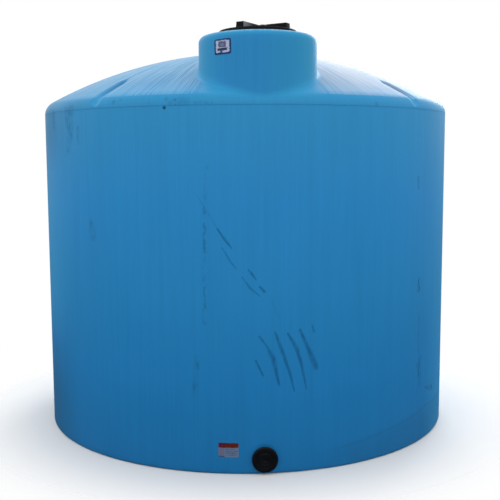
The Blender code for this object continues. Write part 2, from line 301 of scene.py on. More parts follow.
class Finish(Wiring):
    """A material and its nodes."""

    def __init__(self, name):
        self.material = bpy.data.materials.new(name)
        self.material.use_nodes = True
        super().__init__(self.material.node_tree)

    def set(self, **feeds):
        shader = self.tree.nodes["Principled BSDF"]
        for name, value in feeds.items():
            self.join(value, shader.inputs[name.replace("_", " ")])
        return self.material

    def place(self, centre=(0, 0, 0)):
        """Object coordinates, measured from a point on the piece."""
        return self.vector("SUBTRACT", self.node("ShaderNodeTexCoord", output=3), centre)

    def normal(self):
        return self.node("ShaderNodeNewGeometry", output=1)

    def noise(self, place, scale, detail=3.0, roughness=0.5):
        return self.node("ShaderNodeTexNoise", {
            "Vector": place, "Scale": scale, "Detail": detail, "Roughness": roughness})

    def mixed(self, factor, first, second, kind="MIX"):
        return self.node("ShaderNodeMix", {0: factor, 6: first, 7: second}, 2,
                         data_type="RGBA", blend_type=kind)

    def bumped(self, height, distance, under=None):
        feeds = {"Height": height, "Distance": distance, "Strength": 1.0}
        if under is not None:
            feeds["Normal"] = under
        return self.node("ShaderNodeBump", feeds)


def paint(red, green, blue):
    """Linear colour of a screen colour given from 0 to 255."""
    def linear(level):
        share = level / 255
        return share / 12.92 if share <= 0.04045 else ((share + 0.055) / 1.055) ** 2.4
    return (linear(red), linear(green), linear(blue), 1.0)


def around(radius, azimuth, height):
    return Vector((radius * math.sin(azimuth), -radius * math.cos(azimuth), height))


def added(name, data):
    """A new object in the scene."""
    thing = bpy.data.objects.new(name, data)
    bpy.context.scene.collection.objects.link(thing)
    return thing


def smooth(mesh):
    mesh.shade_smooth()
    mesh.set_sharp_from_angle(angle=SHARP_ANGLE)


def settle(piece):
    """Keep the evaluated shape as a plain mesh, with its creases sharp."""
    depsgraph = bpy.context.evaluated_depsgraph_get()
    mesh = bpy.data.meshes.new_from_object(piece.evaluated_get(depsgraph))
    piece.modifiers.clear()
    piece.data = mesh
    mesh.name = piece.name
    smooth(mesh)


def new_piece(name, shape, *materials):
    """Turn a bmesh into an object that sits at the origin."""
    mesh = bpy.data.meshes.new(name)
    shape.to_mesh(mesh)
    shape.free()
    for material in materials:
        mesh.materials.append(material)
    smooth(mesh)
    return added(name, mesh)


def hand_over(piece, body, slot, *nodes):
    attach(piece, body)
    if nodes:
        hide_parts(*nodes)


def round_edges(piece, width, segments):
    edges = piece.modifiers.new("rounded_edges", "BEVEL")
    edges.width = width
    edges.segments = segments
    edges.limit_method = "ANGLE"
    edges.angle_limit = math.radians(30)
    settle(piece)


def face_outwards(shape):
    bmesh.ops.recalc_face_normals(shape, faces=shape.faces)
    return shape


def softened(outline):
    """Replace each corner that has a radius by an arc. A corner is (radius, height, rounding)."""
    points = []
    last = len(outline) - 1
    for index, (radius, height, rounding) in enumerate(outline):
        corner = Vector((radius, height))
        if not rounding or radius == 0.0:
            points.append(corner)
            continue
        before = Vector(outline[index - 1][:2]) - corner
        after = Vector(outline[0 if index == last else index + 1][:2]) - corner
        bend = before.angle(after)
        cut = min(rounding / math.tan(bend / 2), before.length * 0.49, after.length * 0.49)
        start = corner + before.normalized() * cut
        end = corner + after.normalized() * cut
        for step in range(ROUNDING_STEPS + 1):
            share = step / ROUNDING_STEPS
            points.append(start * (1 - share) ** 2 + corner * 2 * share * (1 - share) + end * share ** 2)
    return [(point.x, point.y) for point in points]


def turned(outline, columns):
    """Spin a closed outline of (radius, height) points around local Z into a closed body."""
    shape = bmesh.new()
    rings = []
    for radius, height in outline:
        if radius == 0.0:
            rings.append([shape.verts.new((0.0, 0.0, height))] * columns)
        else:
            rings.append([shape.verts.new(around(radius, 2 * math.pi * i / columns, height))
                          for i in range(columns)])
    for ring, following in zip(rings, rings[1:] + rings[:1]):
        for i in range(columns):
            j = (i + 1) % columns
            corners = list(dict.fromkeys((ring[i], ring[j], following[j], following[i])))
            if len(corners) > 2:
                shape.faces.new(corners)
    return face_outwards(shape)


def placed(shape, place, turn=Matrix.Identity(4)):
    """Put a locally built shape where it belongs."""
    bmesh.ops.transform(shape, matrix=Matrix.Translation(place) @ turn, verts=shape.verts)
    return shape


def meridian(way):
    """Radius and height on the dome's outline."""
    if way < SPHERE_WAY:
        slope = way / DOME_RADIUS
        return DOME_RADIUS * math.sin(slope), DOME_CENTRE_HEIGHT + DOME_RADIUS * math.cos(slope)
    if way < SHOULDER_WAY:
        slope = SHOULDER_SLOPE + (way - SPHERE_WAY) / SHOULDER_RADIUS
        return (SHOULDER_CENTRE_RADIUS + SHOULDER_RADIUS * math.sin(slope),
                SHOULDER_HEIGHT + SHOULDER_RADIUS * math.cos(slope))
    return TANK_RADIUS, SHOULDER_HEIGHT - (way - SHOULDER_WAY)


def way_of_slope(slope):
    if slope < SHOULDER_SLOPE:
        return DOME_RADIUS * slope
    return SPHERE_WAY + SHOULDER_RADIUS * (slope - SHOULDER_SLOPE)


def way_of_radius(radius):
    if radius < DOME_RADIUS * math.sin(SHOULDER_SLOPE):
        return way_of_slope(math.asin(radius / DOME_RADIUS))
    return way_of_slope(math.asin((radius - SHOULDER_CENTRE_RADIUS) / SHOULDER_RADIUS))


def smaller(first, second, rounding):
    """The lower of two heights, with a rounded change from one to the other."""
    overlap = max(rounding - abs(first - second), 0.0) / rounding
    return min(first, second) - overlap * overlap * rounding / 4


def eased(share):
    """Nought to one with a soft start and a soft end."""
    share = min(max(share, 0.0), 1.0)
    return share * share * (3 - 2 * share)


GROOVES = [side * azimuth for azimuth in (GROOVE_AZIMUTH, math.pi - GROOVE_AZIMUTH) for side in (-1, 1)]


def grooved(radius, azimuth, height):
    """Height of the surface once the cable grooves are cut into it. They run out on the shoulder."""
    for groove in GROOVES:
        along = radius * math.cos(azimuth - groove)
        across = radius * math.sin(azimuth - groove)
        if along < GROOVE_HEAD_RADIUS - 0.02 or abs(across) > 0.08:
            continue
        depth = GROOVE_DEPTH * eased((along - GROOVE_HEAD_RADIUS) / GROOVE_RUN_IN)
        depth = min(depth, max(height - SHOULDER_HEIGHT - 0.008, 0.0) * 0.7)
        slant = GROOVE_DEPTH / GROOVE_HALF_WIDTH
        side = (math.hypot(across, GROOVE_ROUNDING) - GROOVE_ROUNDING) * slant
        height = smaller(height, height - depth + side, GROOVE_LIP)
    return height


def top_point(x, y):
    """Point of the top's outer surface for a point of the unrolled plan."""
    way = math.hypot(x, y)
    azimuth = math.atan2(x, -y)
    radius, height = meridian(way)
    if way < SHOULDER_WAY:
        height = grooved(radius, azimuth, height)
    elif way > SEAM_WAY - SEAM_CHAMFER / 2:
        radius -= SEAM_CHAMFER
    return around(radius, azimuth, height)


def neck_blend(bearing):
    """Plan point and rolled arc of the blend between the dome and the neck, at a bearing around the neck."""
    outward = around(1.0, bearing, 0.0)
    share = ((1 + math.cos(bearing)) / 2) ** 2
    rounding = REAR_BLEND_RADIUS + (FRONT_BLEND_RADIUS - REAR_BLEND_RADIUS) * share
    centre = NECK_AXIS + outward * (NECK_RADIUS + rounding)
    out = centre.xy.length
    dome = DOME_RADIUS + rounding
    shoulder = SHOULDER_RADIUS + rounding
    if out < dome * math.sin(SHOULDER_SLOPE):
        slope = math.asin(out / dome)
        centre.z = DOME_CENTRE_HEIGHT + dome * math.cos(slope)
    else:
        slope = math.asin((out - SHOULDER_CENTRE_RADIUS) / shoulder)
        centre.z = SHOULDER_HEIGHT + shoulder * math.cos(slope)
    azimuth = math.atan2(centre.x, -centre.y)
    normal = around(math.sin(slope), azimuth, math.cos(slope))
    arc = [centre + rounding * (-normal).slerp(-outward, step / BLEND_STEPS)
           for step in range(BLEND_STEPS + 1)]
    return around(way_of_slope(slope), azimuth, 0.0).xy, arc


def top_plan_points(foot_line):
    """Points over the unrolled top: rings around the crown, with finer rows beside the grooves."""
    coarse = 0.04
    shoulder_rows = 10
    off_the_foot = 0.006
    ways = [step * coarse for step in range(1, int((SPHERE_WAY - coarse) / coarse) + 1)]
    dense_ways = [SPHERE_WAY - 0.022]
    dense_ways += [SPHERE_WAY + (SHOULDER_WAY - SPHERE_WAY) * step / shoulder_rows
                   for step in range(shoulder_rows)]
    dense_ways += [SHOULDER_WAY + 0.0002, SEAM_WAY - SEAM_CHAMFER, SEAM_WAY]
    rings = [(way, max(12, round(2 * math.pi * meridian(way)[0] / coarse))) for way in ways]
    rings += [(way, WALL_COLUMNS) for way in dense_ways]
    points = [Vector((0.0, 0.0))]
    foot_middle = around(way_of_radius(-NECK_AXIS.y), 0.0, 0.0).xy
    for way, columns in rings:
        radius = meridian(way)[0]
        for column in range(columns):
            azimuth = 2 * math.pi * column / columns
            if way < SHOULDER_WAY and beside_groove(radius, azimuth):
                continue
            point = around(way, azimuth, 0.0).xy
            from_middle = (point - foot_middle).length
            if from_middle > 2 * NECK_RADIUS:
                points.append(point)
                continue
            nearest = min(foot_line, key=lambda foot: (foot - point).length)
            if (nearest - point).length >= off_the_foot and from_middle > (nearest - foot_middle).length:
                points.append(point)
    return points + groove_plan_points()


def beside_groove(radius, azimuth):
    return any(radius * math.cos(azimuth - groove) > GROOVE_HEAD_RADIUS - 0.035
               and abs(radius * math.sin(azimuth - groove)) < 0.060 for groove in GROOVES)


def groove_plan_points():
    points = []
    rows = 36
    steps = 12
    half_width = 0.052
    first = way_of_radius(GROOVE_HEAD_RADIUS - 0.02)
    for groove in GROOVES:
        for row in range(rows + 1):
            way = first + (SHOULDER_WAY - 0.001 - first) * row / rows
            radius = meridian(way)[0]
            for step in range(-steps, steps + 1):
                azimuth = groove + math.asin(half_width * step / steps / radius)
                points.append(around(way, azimuth, 0.0).xy)
    return points


def neck_rows(blends):
    """Rows of points up the neck: wall, rounded edge, shallow top and the rim of the fill hole."""
    wall_steps = 8
    edge_steps = 8
    fall_radius = 0.235
    edge_radius = NECK_RADIUS - NECK_EDGE_RADIUS
    edge_height = NECK_HEIGHT - NECK_TOP_FALL - NECK_EDGE_RADIUS
    profile = []
    for step in range(edge_steps + 1):
        slope = math.pi / 2 * step / edge_steps
        profile.append((edge_radius + NECK_EDGE_RADIUS * math.cos(slope),
                        edge_height + NECK_EDGE_RADIUS * math.sin(slope)))
    profile += [(fall_radius, NECK_HEIGHT - 0.002), (FILL_HOLE_RADIUS + 0.004, NECK_HEIGHT),
                (FILL_HOLE_RADIUS + 0.0006, NECK_HEIGHT - 0.0006)]
    rows = []
    for share in range(1, wall_steps):
        rows.append([arc[-1].lerp(Vector((arc[-1].x, arc[-1].y, edge_height)), share / wall_steps)
                     for _, arc in blends])
    for radius, height in profile:
        rows.append([NECK_AXIS + around(radius, 2 * math.pi * column / NECK_COLUMNS, height)
                     for column in range(NECK_COLUMNS)])
    return rows


def make_tank_top(blue, neck_blue):
    """Dome, shoulder, cable grooves and neck as one sheet, then its thickness."""
    blends = [neck_blend(2 * math.pi * column / NECK_COLUMNS) for column in range(NECK_COLUMNS)]
    foot_line = [plan for plan, _ in blends]
    plan = foot_line + top_plan_points(foot_line)
    edges = [(i, (i + 1) % NECK_COLUMNS) for i in range(NECK_COLUMNS)]
    points, _, faces, origins, _, _ = geometry.delaunay_2d_cdt(plan, edges, [], 0, 1e-6, True)
    shape = bmesh.new()
    verts = [shape.verts.new(top_point(*point)) for point in points]
    base = [None] * NECK_COLUMNS
    on_foot_line = set()
    for index, sources in enumerate(origins):
        for source in sources:
            if source < NECK_COLUMNS:
                base[source] = verts[index]
                on_foot_line.add(index)
    for face in faces:
        if not all(index in on_foot_line for index in face):
            shape.faces.new([verts[index] for index in face])
    rows = [[shape.verts.new(arc[step]) for _, arc in blends] for step in range(1, BLEND_STEPS + 1)]
    rows += [[shape.verts.new(point) for point in row] for row in neck_rows(blends)]
    previous = base
    for row in rows:
        for i in range(NECK_COLUMNS):
            j = (i + 1) % NECK_COLUMNS
            face = shape.faces.new((previous[i], previous[j], row[j], row[i]))
            face.material_index = 1
        previous = row
    loose = [vert for vert in shape.verts if not vert.link_faces]
    bmesh.ops.delete(shape, geom=loose, context="VERTS")
    top = new_piece("tank_top", shape, blue, neck_blue)
    skin = top.modifiers.new("wall_thickness", "SOLIDIFY")
    skin.thickness = WALL
    skin.offset = -1.0
    skin.use_even_offset = True
    skin.use_quality_normals = True
    settle(top)
    nodes = ["dome_" + name for name in SEGMENTS] + ["dome_crown"]
    nodes += [part + name for part in ("neck_wall_", "neck_top_") for name in QUARTERS]
    hand_over(top, TANK, BLUE, *nodes)


def wall_section():
    """Outline of the wall and floor, from the axis under the floor round to the axis above it."""
    foot_steps = 6
    outer_rows = 16
    heel = 0.022
    floor_radii = (0.0, 0.4, 0.8)
    inside = TANK_RADIUS - WALL
    top = SEAM_HEIGHT - GAP
    section = [(radius, 0.0) for radius in floor_radii]
    for step in range(foot_steps + 1):
        turn = math.pi / 2 * step / foot_steps
        section.append((TANK_RADIUS - FOOT_RADIUS * (1 - math.sin(turn)), FOOT_RADIUS * (1 - math.cos(turn))))
    for row in range(1, outer_rows):
        section.append((TANK_RADIUS, FOOT_RADIUS + (top - FOOT_RADIUS) * row / outer_rows))
    section += [(TANK_RADIUS, top - SEAM_CHAMFER), (TANK_RADIUS - SEAM_CHAMFER, top)]
    section += [(inside, height) for height in (top, 1.2, 0.6)]
    for step in range(foot_steps + 1):
        turn = math.pi / 2 * (1 - step / foot_steps)
        section.append((inside - heel * (1 - math.sin(turn)), WALL + heel * (1 - math.cos(turn))))
    return section + [(radius, WALL) for radius in reversed(floor_radii)]


def make_tank_wall(blue):
    """Wall and floor swept round the axis, with the flat pad and the hole for the outlet cut out."""
    shape = bmesh.new()
    line = [shape.verts.new((radius - TANK_RADIUS, -height, 0.0))
            for radius, height in reversed(wall_section())]
    for pair in zip(line, line[1:]):
        shape.edges.new(pair)
    wall = new_piece("tank_wall", shape, blue)

    recipe = Recipe("swept_wall")
    radius = recipe.size("Tank radius", TANK_RADIUS)
    columns = recipe.count("Columns", WALL_COLUMNS)
    pad_radius = recipe.size("Pad radius", PAD_RADIUS)
    bore_radius = recipe.size("Hole radius", OUTLET_BARREL_RADIUS + GAP)
    line = recipe.shape("MeshToCurve", Mesh=recipe.given())
    rail = recipe.shape("CurvePrimitiveCircle", Resolution=columns, Radius=radius)
    swept = recipe.shape("CurveToMesh", Curve=rail, Profile_Curve=line)
    swept = recipe.shape("MergeByDistance", Geometry=swept, Distance=0.00005)
    cut_depth = 0.02
    sideways = (-math.pi / 2, 0.0, 0.0)
    pad = recipe.shape("MeshCone", Vertices=96, Radius_Bottom=pad_radius + cut_depth, Radius_Top=pad_radius,
                       Depth=cut_depth)
    pad = recipe.moved(pad, (0.0, -PAD_FACE - cut_depth, OUTLET_CENTRE.z), sideways)
    bore = recipe.shape("MeshCylinder", Vertices=64, Radius=bore_radius, Depth=0.1)
    bore = recipe.moved(bore, (0.0, -PAD_FACE, OUTLET_CENTRE.z), sideways)
    recipe.run(wall, recipe.cut(swept, pad, bore), blue)
    hand_over(wall, TANK, BLUE, "tank_floor", *("wall_" + name for name in SEGMENTS))


def ribbon_thread(recipe, radius, low, height, turns, ridge):
    """Helical ridge for a screw thread."""
    spiral = recipe.shape("CurveSpiral", Resolution=96, Rotations=turns, Start_Radius=radius,
                          End_Radius=radius, Height=height)
    section = recipe.shape("CurvePrimitiveCircle", Resolution=6, Radius=ridge)
    thread = recipe.shape("CurveToMesh", Curve=spiral, Profile_Curve=section, Fill_Caps=True)
    return recipe.moved(thread, (NECK_AXIS.x, NECK_AXIS.y, low))


def make_lid_ring(black):
    """Ring around the fill hole, threaded inside for the lid, with small lugs around it."""
    outside = FILL_HOLE_RADIUS - 0.0005
    base = NECK_HEIGHT + GAP
    outline = softened([
        (RING_RADIUS, base, 0.0006), (RING_RADIUS, RING_TOP, 0.0022),
        (SLEEVE_RADIUS, RING_TOP, 0.0015), (SLEEVE_RADIUS, RING_LOW, 0.001),
        (outside, RING_LOW, 0.001), (outside, base, 0.0)])
    ring = new_piece("lid_ring_threaded", placed(turned(outline, RING_COLUMNS), NECK_AXIS), black)
    recipe = Recipe("ring_thread")
    turns = recipe.size("Thread turns", 2.6)
    ridge = recipe.size("Thread ridge", 0.0022)
    lugs = recipe.count("Lugs", 24)
    thread = ribbon_thread(recipe, SLEEVE_RADIUS + 0.0004, RING_LOW + 0.006, 0.030, turns, ridge)
    lug = recipe.shape("MeshCylinder", Vertices=10, Radius=0.0022, Depth=0.0052)
    row = recipe.ring_of(lug, lugs, RING_RADIUS - 0.0012, (0.0, NECK_AXIS.y, base + 0.0030))
    recipe.run(ring, recipe.together(recipe.given(), thread, row), black)
    hand_over(ring, TANK, BLACK, "lid_ring")


def make_lid_gasket(rubber):
    low = RING_TOP + GAP
    outer = LID_RADIUS - 0.001
    inner = SLEEVE_RADIUS + 0.002
    outline = softened([(radius, height, 0.0005) for radius, height in (
        (outer, low), (outer, GASKET_TOP), (inner, GASKET_TOP), (inner, low))])
    gasket = new_piece("lid_gasket_ring", placed(turned(outline, RING_COLUMNS), NECK_AXIS), rubber)
    hand_over(gasket, TANK, RUBBER, "lid_gasket")


def make_lid(black):
    """Lid disc with a raised rim, a dished panel, rim ribs, and a threaded skirt with webs below."""
    base = GASKET_TOP + GAP
    edge = LID_RADIUS - 0.001
    inside = SKIRT_RADIUS - 0.010
    panel = LID_TOP - 0.0022
    outline = softened([
        (0.0, panel, 0.0), (0.165, panel, 0.003), (0.170, LID_TOP, 0.002), (edge, LID_TOP, 0.0035),
        (edge, base, 0.0012), (SKIRT_RADIUS, base, 0.001), (SKIRT_RADIUS, SKIRT_LOW, 0.0015),
        (inside, SKIRT_LOW, 0.0015), (inside, base, 0.004), (0.0, base, 0.0)])
    lid = new_piece("lid_plate", placed(turned(outline, LID_COLUMNS), NECK_AXIS), black)
    recipe = Recipe("lid_ribs_and_thread")
    turns = recipe.size("Thread turns", 2.2)
    ridge = recipe.size("Thread ridge", 0.0020)
    ribs = recipe.count("Rim ribs", 90)
    rib_radius = recipe.size("Rib radius", 0.0019)
    webs = recipe.count("Underside webs", 8)
    thread = ribbon_thread(recipe, SKIRT_RADIUS - 0.0004, SKIRT_LOW + 0.006, 0.024, turns, ridge)
    rib = recipe.shape("MeshCylinder", Vertices=8, Radius=rib_radius, Depth=0.0062)
    rim = recipe.ring_of(rib, ribs, LID_RADIUS - 0.0019, (0.0, NECK_AXIS.y, base + 0.0040))
    web = recipe.shape("MeshCube", Size=(0.110, 0.004, 0.012))
    under = recipe.ring_of(web, webs, 0.112, (0.0, NECK_AXIS.y, base - 0.0055))
    recipe.run(lid, recipe.together(recipe.given(), thread, rim, under), black)
    hand_over(lid, LID, BLACK, "lid")


def make_lid_grip(black):
    """Cross of four bars with drafted sides, rounded edges and a shallow hollow along each bar."""
    draft = 0.0016
    hollow = 0.004
    shape = bmesh.new()
    rings = []
    for height, inset in ((GRIP_BASE, 0.0), (GRIP_TOP, draft)):
        half = GRIP_WIDTH / 2 - inset
        end = GRIP_REACH - inset
        ring = []
        for arm in range(4):
            turn = Matrix.Rotation(-arm * math.pi / 2, 3, "Z")
            ring += [shape.verts.new(turn @ Vector((x, y, height)))
                     for x, y in ((half, half), (end, half), (end, -half))]
        rings.append(ring)
    for i in range(len(rings[0])):
        j = (i + 1) % len(rings[0])
        shape.faces.new((rings[0][i], rings[0][j], rings[1][j], rings[1][i]))
    shape.faces.new(rings[0][::-1])
    top = shape.faces.new(rings[1])
    for border in (0.0065, 0.003):
        bmesh.ops.inset_region(shape, faces=[top], thickness=border)
    bmesh.ops.translate(shape, verts=top.verts, vec=(0, 0, -hollow))
    face_outwards(shape)
    turn = Matrix.Rotation(GRIP_AZIMUTH - math.pi / 2, 4, "Z")
    grip = new_piece("lid_grip_cross", placed(shape, NECK_AXIS, turn), black)
    round_edges(grip, 0.0032, 3)
    hand_over(grip, LID, BLACK, "lid_grip")


def make_lid_vent(black):
    """Vent cap on a short stem, with fins around the stem."""
    base = LID_TOP + GAP
    foot = VENT_RADIUS * 0.9
    foot_top = base + 0.002
    stem = VENT_RADIUS * 0.62
    cap = base + 0.008
    outline = softened([
        (0.0, VENT_TOP, 0.0), (VENT_RADIUS * 0.72, VENT_TOP, 0.006), (VENT_RADIUS, VENT_TOP - 0.007, 0.003),
        (VENT_RADIUS, cap, 0.0012), (stem, cap, 0.001), (stem, foot_top, 0.001),
        (foot, foot_top, 0.0008), (foot, base, 0.0), (0.0, base, 0.0)])
    axis = Vector((VENT_CENTRE.x, VENT_CENTRE.y, 0.0))
    vent = new_piece("lid_vent_cap", placed(turned(outline, 48), axis), black)
    recipe = Recipe("vent_fins")
    fins = recipe.count("Fins", 12)
    fin = recipe.shape("MeshCube", Size=(0.005, 0.0014, 0.0066))
    row = recipe.ring_of(fin, fins, stem + 0.0018, (axis.x, axis.y, base + 0.0050))
    recipe.run(vent, recipe.together(recipe.given(), row), black)
    hand_over(vent, LID, BLACK, "lid_vent")


def outlet_turned(name, columns, material, outline):
    """Turn an outline around the outlet's axis. Its height is the distance out from the tank's axis."""
    turn = Matrix.Rotation(math.pi / 2, 4, "X")
    shape = placed(turned(softened(outline), columns), Vector((0.0, 0.0, OUTLET_CENTRE.z)), turn)
    return new_piece(name, shape, material)


def make_outlet(black, rubber):
    """Flange, gasket, screwed plug and inner nut of the outlet."""
    bore = OUTLET_BORE_RADIUS
    barrel = OUTLET_BARREL_RADIUS
    hole = barrel + GAP
    back = GASKET_FACE + GAP
    seat = OUTLET_FACE - PLUG_SEAT_DEPTH
    flange = outlet_turned("outlet_flange", OUTLET_COLUMNS, black, [
        (OUTLET_RADIUS, back, 0.001), (OUTLET_RADIUS, OUTLET_FACE - 0.002, 0.003),
        (OUTLET_RADIUS - 0.006, OUTLET_FACE, 0.004), (PLUG_SEAT_RADIUS, OUTLET_FACE, 0.0015),
        (PLUG_SEAT_RADIUS, seat, 0.0), (bore, seat, 0.0), (bore, OUTLET_BACK, 0.001),
        (barrel, OUTLET_BACK, 0.001), (barrel, back, 0.0)])
    hand_over(flange, TANK, BLACK, "outlet_body")

    edge = OUTLET_RADIUS - 0.002
    washer = outlet_turned("outlet_washer", OUTLET_COLUMNS, rubber, [
        (edge, PAD_FACE, 0.0008), (edge, GASKET_FACE, 0.0008),
        (hole, GASKET_FACE, 0.0), (hole, PAD_FACE, 0.0)])
    hand_over(washer, TANK, RUBBER, "outlet_gasket")

    head = PLUG_HEAD_RADIUS
    end = bore - GAP
    sunk = PLUG_FACE - 0.0022
    dimple = sunk - 0.004
    ring = PLUG_FACE - 0.0004
    plug = outlet_turned("outlet_screw_plug", OUTLET_COLUMNS, black, [
        (0.0, dimple, 0.0), (0.011, dimple, 0.0015), (0.0125, sunk, 0.0008),
        (0.0275, sunk, 0.0008), (0.0285, ring, 0.0008), (0.0315, ring, 0.0008),
        (0.0325, sunk, 0.0008), (head - 0.0055, sunk, 0.001), (head - 0.0045, PLUG_FACE, 0.0008),
        (head, PLUG_FACE, 0.0012), (head, seat + GAP, 0.0), (end, seat + GAP, 0.0),
        (end, PLUG_BACK, 0.0015), (0.0, PLUG_BACK, 0.0)])
    hand_over(plug, TANK, BLACK, "outlet_plug")

    nut = outlet_turned("outlet_inner_nut", 6, black, [
        (NUT_RADIUS, NUT_BACK, 0.0), (NUT_RADIUS, NUT_FACE, 0.0),
        (hole, NUT_FACE, 0.0), (hole, NUT_BACK, 0.0)])
    round_edges(nut, 0.002, 2)
    hand_over(nut, TANK, BLACK, "outlet_nut")


def make_label(name, axis, radius, azimuth, height, width, tall, lean, corner, film):
    """Thin film that follows a round wall, pressed on it, with its own flat coordinates."""
    columns = 24
    rows = 20
    proud = 0.0007
    sunk = 0.0004
    shape = bmesh.new()
    flat = shape.loops.layers.uv.new("label")
    skins = []
    for level in (radius + proud, radius - sunk):
        skin = {}
        for row in range(rows + 1):
            v = row / rows - 0.5
            over = max(abs(v) * tall - tall / 2 + corner, 0.0)
            narrower = 1 - 2 * (corner - math.sqrt(corner ** 2 - over ** 2)) / width
            for column in range(columns + 1):
                u = (column / columns - 0.5) * narrower
                along = u * width * math.cos(lean) - v * tall * math.sin(lean)
                up = u * width * math.sin(lean) + v * tall * math.cos(lean)
                place = axis + around(level, azimuth + along / radius, height + up)
                skin[row, column] = shape.verts.new(place)
        skins.append(skin)

    def add_face(*corners):
        face = shape.faces.new([skins[side][row, column] for side, (row, column) in corners])
        for loop, (_, (row, column)) in zip(face.loops, corners):
            loop[flat].uv = (column / columns, row / rows)

    for row in range(rows):
        for column in range(columns):
            square = ((row, column), (row, column + 1), (row + 1, column + 1), (row + 1, column))
            add_face(*((0, spot) for spot in square))
            add_face(*((1, spot) for spot in reversed(square)))
    border = [(0, column) for column in range(columns)] + [(row, columns) for row in range(rows)]
    border += [(rows - row, columns - column) for row, column in border]
    for here, following in zip(border, border[1:] + border[:1]):
        add_face((1, here), (1, following), (0, following), (0, here))
    hand_over(new_piece(name, shape, film), TANK, FILM)


# Marks on the wall: strength, then a line through points given in millimetres around from the
# front, millimetres up, and the mark's width there
SCRAPES = (
    (0.30, (-330, 1395, 3), (-290, 1335, 5), (-230, 1235, 5)),
    (0.75, (-228, 1230, 7), (-190, 1175, 12), (-158, 1135, 5)),
    (0.50, (-205, 1137, 5), (-160, 1063, 9), (-136, 1035, 4)),
    (0.52, (-110, 995, 5), (-68, 938, 10), (-23, 900, 4)),
    (0.75, (-78, 1030, 5), (-60, 1008, 12), (-40, 980, 4)),
    (0.75, (-22, 945, 10), (0, 922, 12)),
    (0.22, (28, 890, 4), (72, 787, 4)),
    (0.75, (-43, 577, 9), (-8, 504, 9)),
    (0.75, (-24, 697, 11), (18, 640, 6)),
    (0.80, (20, 630, 13), (42, 590, 19), (72, 453, 10)),
    (0.75, (53, 717, 10), (85, 630, 16), (129, 502, 13), (149, 417, 5)),
    (0.80, (116, 709, 10), (158, 640, 17), (184, 557, 14), (211, 425, 6)),
    (0.80, (178, 725, 12), (228, 612, 17)),
    (0.75, (228, 612, 22), (262, 532, 22)),
    (0.60, (241, 744, 8), (251, 714, 10)),
)
STAINS = (
    (0.26, (-336, 590, 22), (-349, 400, 24)),
    (0.60, (-333, 556, 20), (-335, 536, 20)),
    (0.55, (-344, 462, 24), (-348, 428, 26)),
    (0.52, (-1374, 1810, 40), (-1368, 1745, 34)),
    (0.52, (-1180, 1820, 36), (-1172, 1740, 30)),
    (0.62, (-1134, 1824, 50), (-1142, 1690, 44)),
    (0.32, (-1160, 1670, 46), (-1170, 1620, 40)),
    (0.40, (-1064, 1730, 24), (-1062, 1655, 24)),
    (0.45, (-970, 1240, 34), (-955, 1170, 38)),
    (0.65, (955, 1460, 16), (956, 1410, 16)),
    (1.15, (980, 915, 14), (979, 860, 26)),
    (0.35, (985, 720, 10), (990, 500, 12)),
    (0.75, (1012, 480, 20), (992, 435, 40), (1010, 330, 18)),
    (0.75, (1080, 290, 14), (1190, 265, 30)),
    (0.28, (-330, 1834, 15), (-250, 1830, 15)),
)
# Thin runs of rust spots
SPOTTED = (
    (0.34, (-276, 1570, 14), (-288, 1330, 14)),
    (0.62, (-291, 1330, 16), (-296, 760, 16)),
)
# Single spots: strength, then millimetres around and up, and the radius
SPOTS = (
    (0.85, (-292, 1136, 11)),
    (2.20, (-487, 1812, 11)),
    (0.45, (-479, 1854, 14)),
    (0.75, (-432, 1848, 13)),
    (0.60, (-429, 1826, 9)),
    (0.30, (-456, 1835, 22)),
    (0.36, (-402, 1842, 34)),
    (0.32, (-376, 1839, 26)),
    (0.55, (-784, 1849, 16)),
    (0.35, (-742, 1857, 10)),
    (0.30, (-570, 1837, 9)),
    (0.40, (603, 1832, 18)),
)


def metres(point):
    return [number / 1000 for number in point]


def make_stroke_group():
    """Shader group: how much of a mark lies at a place, for a straight stroke.

    The product of the place with Along runs from nought to one over the stroke's length, and its
    product with Across is the distance from the stroke's middle line.
    """
    tree = bpy.data.node_groups.new("stroke", "ShaderNodeTree")
    for name in ("Place", "Along", "Across"):
        tree.interface.new_socket(name, in_out="INPUT", socket_type="NodeSocketVector")
    for name in ("Length", "Width", "Widening", "Strength"):
        tree.interface.new_socket(name, in_out="INPUT", socket_type="NodeSocketFloat")
    tree.interface.new_socket("Mark", in_out="OUTPUT", socket_type="NodeSocketFloat")
    wires = Wiring(tree)
    given = {socket.name: Reading(wires, socket) for socket in tree.nodes.new("NodeGroupInput").outputs}
    share = wires.measure("DOT_PRODUCT", given["Place"], given["Along"])
    held = wires.math("ADD", share, 0.0, clamp=True)
    beyond = (share - held) * given["Length"]
    beside = wires.measure("DOT_PRODUCT", given["Place"], given["Across"])
    away = wires.math("SQRT", wires.math("MULTIPLY_ADD", beside, beside, beyond * beyond))
    width = wires.math("MULTIPLY_ADD", held, given["Widening"], given["Width"])
    mark = (away / width).fading(0.1, 1.0, given["Strength"], soft=True)
    wires.join(mark, tree.nodes.new("NodeGroupOutput").inputs[0])
    return tree


def strokes(finish, place, lines):
    """The strongest of all strokes at a place on the wall, which is given as (run, height, 1)."""
    group = bpy.data.node_groups.get("stroke") or make_stroke_group()
    total = 0.0
    for strength, *points in lines:
        points = [metres(point) for point in points]
        for (run, height, width), (end_run, end_height, end_width) in zip(points, points[1:]):
            line = Vector((end_run - run, end_height - height))
            along = line / line.length_squared
            across = Vector((-line.y, line.x)) / line.length
            begin = Vector((run, height))
            mark = finish.node("ShaderNodeGroup", {
                "Place": place, "Along": (*along, -along.dot(begin)), "Across": (*across, -across.dot(begin)),
                "Length": line.length, "Width": width, "Widening": end_width - width, "Strength": strength,
            }, node_tree=group)
            total = finish.math("MAXIMUM", total, mark)
    return total


